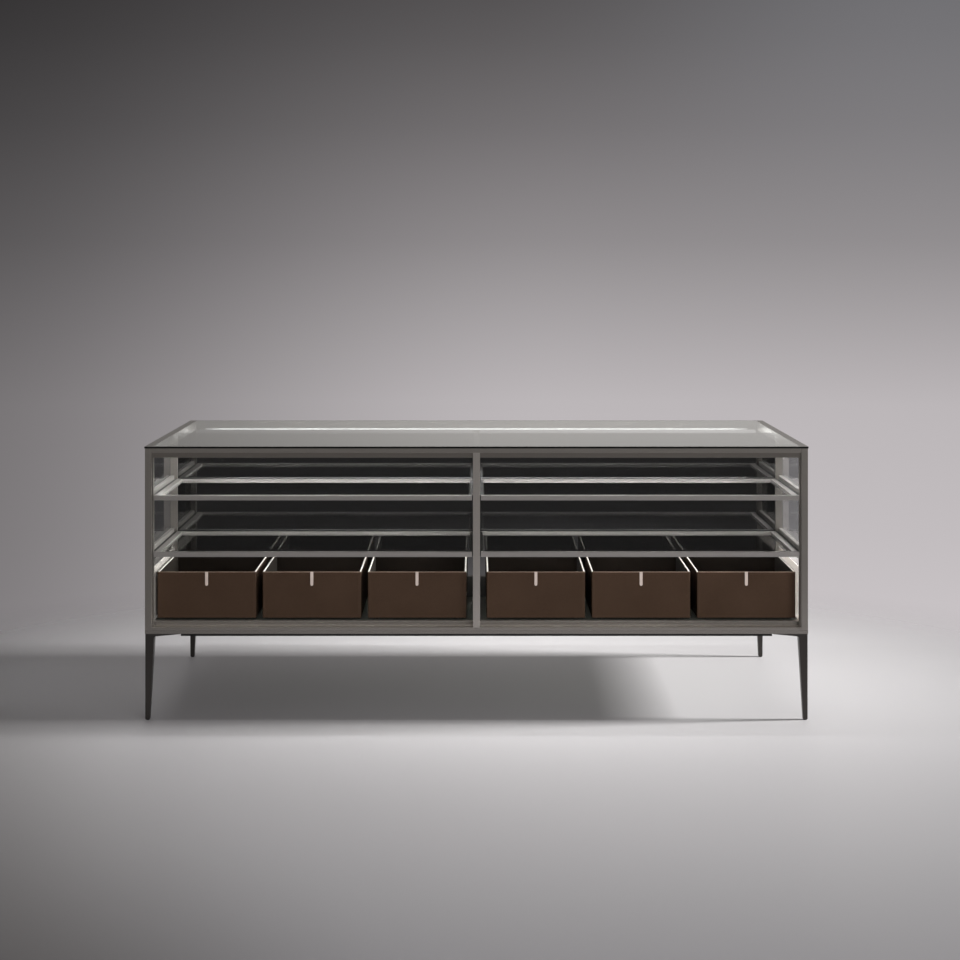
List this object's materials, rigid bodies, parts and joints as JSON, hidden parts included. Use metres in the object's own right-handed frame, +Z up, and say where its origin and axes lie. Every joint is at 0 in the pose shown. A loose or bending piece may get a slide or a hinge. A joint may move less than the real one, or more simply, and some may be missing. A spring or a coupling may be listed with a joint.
{
  "type": "closet island",
  "caption": "Free-standing glass-topped closet island with pull-out display trays above a row of open leather boxes, on tapered legs.",
  "frame": {"origin": "centre of the footprint, on the floor", "axes": "+X along the length to the right, +Y from the front to the rear, +Z up"},
  "size_m": [2.003, 0.803, 0.825],
  "materials": {
    "frame_metal": "brushed and anodised, dark pewter",
    "base_metal": "brushed, dark pewter over a black strip",
    "tray_metal": "brushed and anodised, warm pewter",
    "runner_metal": "satin",
    "guard_sheet": "satin, pale, lets some light through",
    "clear_glass": "clear, polished edge",
    "grey_glass": "clear grey, slightly reflective",
    "smoked_glass": "smoked",
    "black_glass": "black, back-painted, glossy",
    "panel_lacquer": "grey-green matt lacquer",
    "box_leather": "dark brown, with a light pull tab",
    "light_diffuser": "lit diffuser",
    "rubber_pad": "matt black",
    "screw_steel": "blackened"
  },
  "bodies": {
    "island": {"top_glass": "clear_glass", "partition": "black_glass", "bottom_panel": "panel_lacquer", "base_frame": "base_metal", "foot_pads": "rubber_pad", "leg_screws": "screw_steel", "light_strips": "light_diffuser", "tray_runners": "runner_metal", "post_front_left": "frame_metal", "leg_front_left": "frame_metal", "post_front_right": "frame_metal", "leg_front_right": "frame_metal", "post_rear_left": "frame_metal", "leg_rear_left": "frame_metal", "post_rear_right": "frame_metal", "leg_rear_right": "frame_metal", "top_rail_front": "frame_metal", "bottom_rail_front": "frame_metal", "top_rail_rear": "frame_metal", "bottom_rail_rear": "frame_metal", "top_rail_left": "frame_metal", "bottom_rail_left": "frame_metal", "top_rail_right": "frame_metal", "bottom_rail_right": "frame_metal", "mullion_front": "frame_metal", "mullion_rear": "frame_metal", "side_post_left": "frame_metal", "side_glass_left": "grey_glass", "low_side_panel_left": "guard_sheet", "side_post_right": "frame_metal", "side_glass_right": "grey_glass", "low_side_panel_right": "guard_sheet"},
    "tray_lower_front_left": {"tray_frame_lower_front_left": "tray_metal", "tray_glass_lower_front_left": "smoked_glass"},
    "tray_lower_front_right": {"tray_frame_lower_front_right": "tray_metal", "tray_glass_lower_front_right": "smoked_glass"},
    "tray_lower_rear_left": {"tray_frame_lower_rear_left": "tray_metal", "tray_glass_lower_rear_left": "smoked_glass"},
    "tray_lower_rear_right": {"tray_frame_lower_rear_right": "tray_metal", "tray_glass_lower_rear_right": "smoked_glass"},
    "tray_upper_front_left": {"tray_frame_upper_front_left": "tray_metal", "tray_glass_upper_front_left": "smoked_glass"},
    "tray_upper_front_right": {"tray_frame_upper_front_right": "tray_metal", "tray_glass_upper_front_right": "smoked_glass"},
    "tray_upper_rear_left": {"tray_frame_upper_rear_left": "tray_metal", "tray_glass_upper_rear_left": "smoked_glass"},
    "tray_upper_rear_right": {"tray_frame_upper_rear_right": "tray_metal", "tray_glass_upper_rear_right": "smoked_glass"},
    "box_1_front": {"box_1_front": "box_leather"},
    "box_2_front": {"box_2_front": "box_leather"},
    "box_3_front": {"box_3_front": "box_leather"},
    "box_4_front": {"box_4_front": "box_leather"},
    "box_5_front": {"box_5_front": "box_leather"},
    "box_6_front": {"box_6_front": "box_leather"},
    "box_1_rear": {"box_1_rear": "box_leather"},
    "box_2_rear": {"box_2_rear": "box_leather"},
    "box_3_rear": {"box_3_rear": "box_leather"},
    "box_4_rear": {"box_4_rear": "box_leather"},
    "box_5_rear": {"box_5_rear": "box_leather"},
    "box_6_rear": {"box_6_rear": "box_leather"}
  },
  "joints": [
    {"name": "tray_lower_front_left_slide", "type": "slide", "parent": "island", "child": "tray_lower_front_left", "axis": [0, -1, 0], "range_m": [0, 0.3]},
    {"name": "tray_lower_front_right_slide", "type": "slide", "parent": "island", "child": "tray_lower_front_right", "axis": [0, -1, 0], "range_m": [0, 0.3]},
    {"name": "tray_lower_rear_left_slide", "type": "slide", "parent": "island", "child": "tray_lower_rear_left", "axis": [0, 1, 0], "range_m": [0, 0.3]},
    {"name": "tray_lower_rear_right_slide", "type": "slide", "parent": "island", "child": "tray_lower_rear_right", "axis": [0, 1, 0], "range_m": [0, 0.3]},
    {"name": "tray_upper_front_left_slide", "type": "slide", "parent": "island", "child": "tray_upper_front_left", "axis": [0, -1, 0], "range_m": [0, 0.3]},
    {"name": "tray_upper_front_right_slide", "type": "slide", "parent": "island", "child": "tray_upper_front_right", "axis": [0, -1, 0], "range_m": [0, 0.3]},
    {"name": "tray_upper_rear_left_slide", "type": "slide", "parent": "island", "child": "tray_upper_rear_left", "axis": [0, 1, 0], "range_m": [0, 0.3]},
    {"name": "tray_upper_rear_right_slide", "type": "slide", "parent": "island", "child": "tray_upper_rear_right", "axis": [0, 1, 0], "range_m": [0, 0.3]},
    {"name": "box_1_front_slide", "type": "slide", "parent": "island", "child": "box_1_front", "axis": [0, -1, 0], "range_m": [0, 0.2]},
    {"name": "box_2_front_slide", "type": "slide", "parent": "island", "child": "box_2_front", "axis": [0, -1, 0], "range_m": [0, 0.2]},
    {"name": "box_3_front_slide", "type": "slide", "parent": "island", "child": "box_3_front", "axis": [0, -1, 0], "range_m": [0, 0.2]},
    {"name": "box_4_front_slide", "type": "slide", "parent": "island", "child": "box_4_front", "axis": [0, -1, 0], "range_m": [0, 0.2]},
    {"name": "box_5_front_slide", "type": "slide", "parent": "island", "child": "box_5_front", "axis": [0, -1, 0], "range_m": [0, 0.2]},
    {"name": "box_6_front_slide", "type": "slide", "parent": "island", "child": "box_6_front", "axis": [0, -1, 0], "range_m": [0, 0.2]},
    {"name": "box_1_rear_slide", "type": "slide", "parent": "island", "child": "box_1_rear", "axis": [0, 1, 0], "range_m": [0, 0.2]},
    {"name": "box_2_rear_slide", "type": "slide", "parent": "island", "child": "box_2_rear", "axis": [0, 1, 0], "range_m": [0, 0.2]},
    {"name": "box_3_rear_slide", "type": "slide", "parent": "island", "child": "box_3_rear", "axis": [0, 1, 0], "range_m": [0, 0.2]},
    {"name": "box_4_rear_slide", "type": "slide", "parent": "island", "child": "box_4_rear", "axis": [0, 1, 0], "range_m": [0, 0.2]},
    {"name": "box_5_rear_slide", "type": "slide", "parent": "island", "child": "box_5_rear", "axis": [0, 1, 0], "range_m": [0, 0.2]},
    {"name": "box_6_rear_slide", "type": "slide", "parent": "island", "child": "box_6_rear", "axis": [0, 1, 0], "range_m": [0, 0.2]}
  ]
}
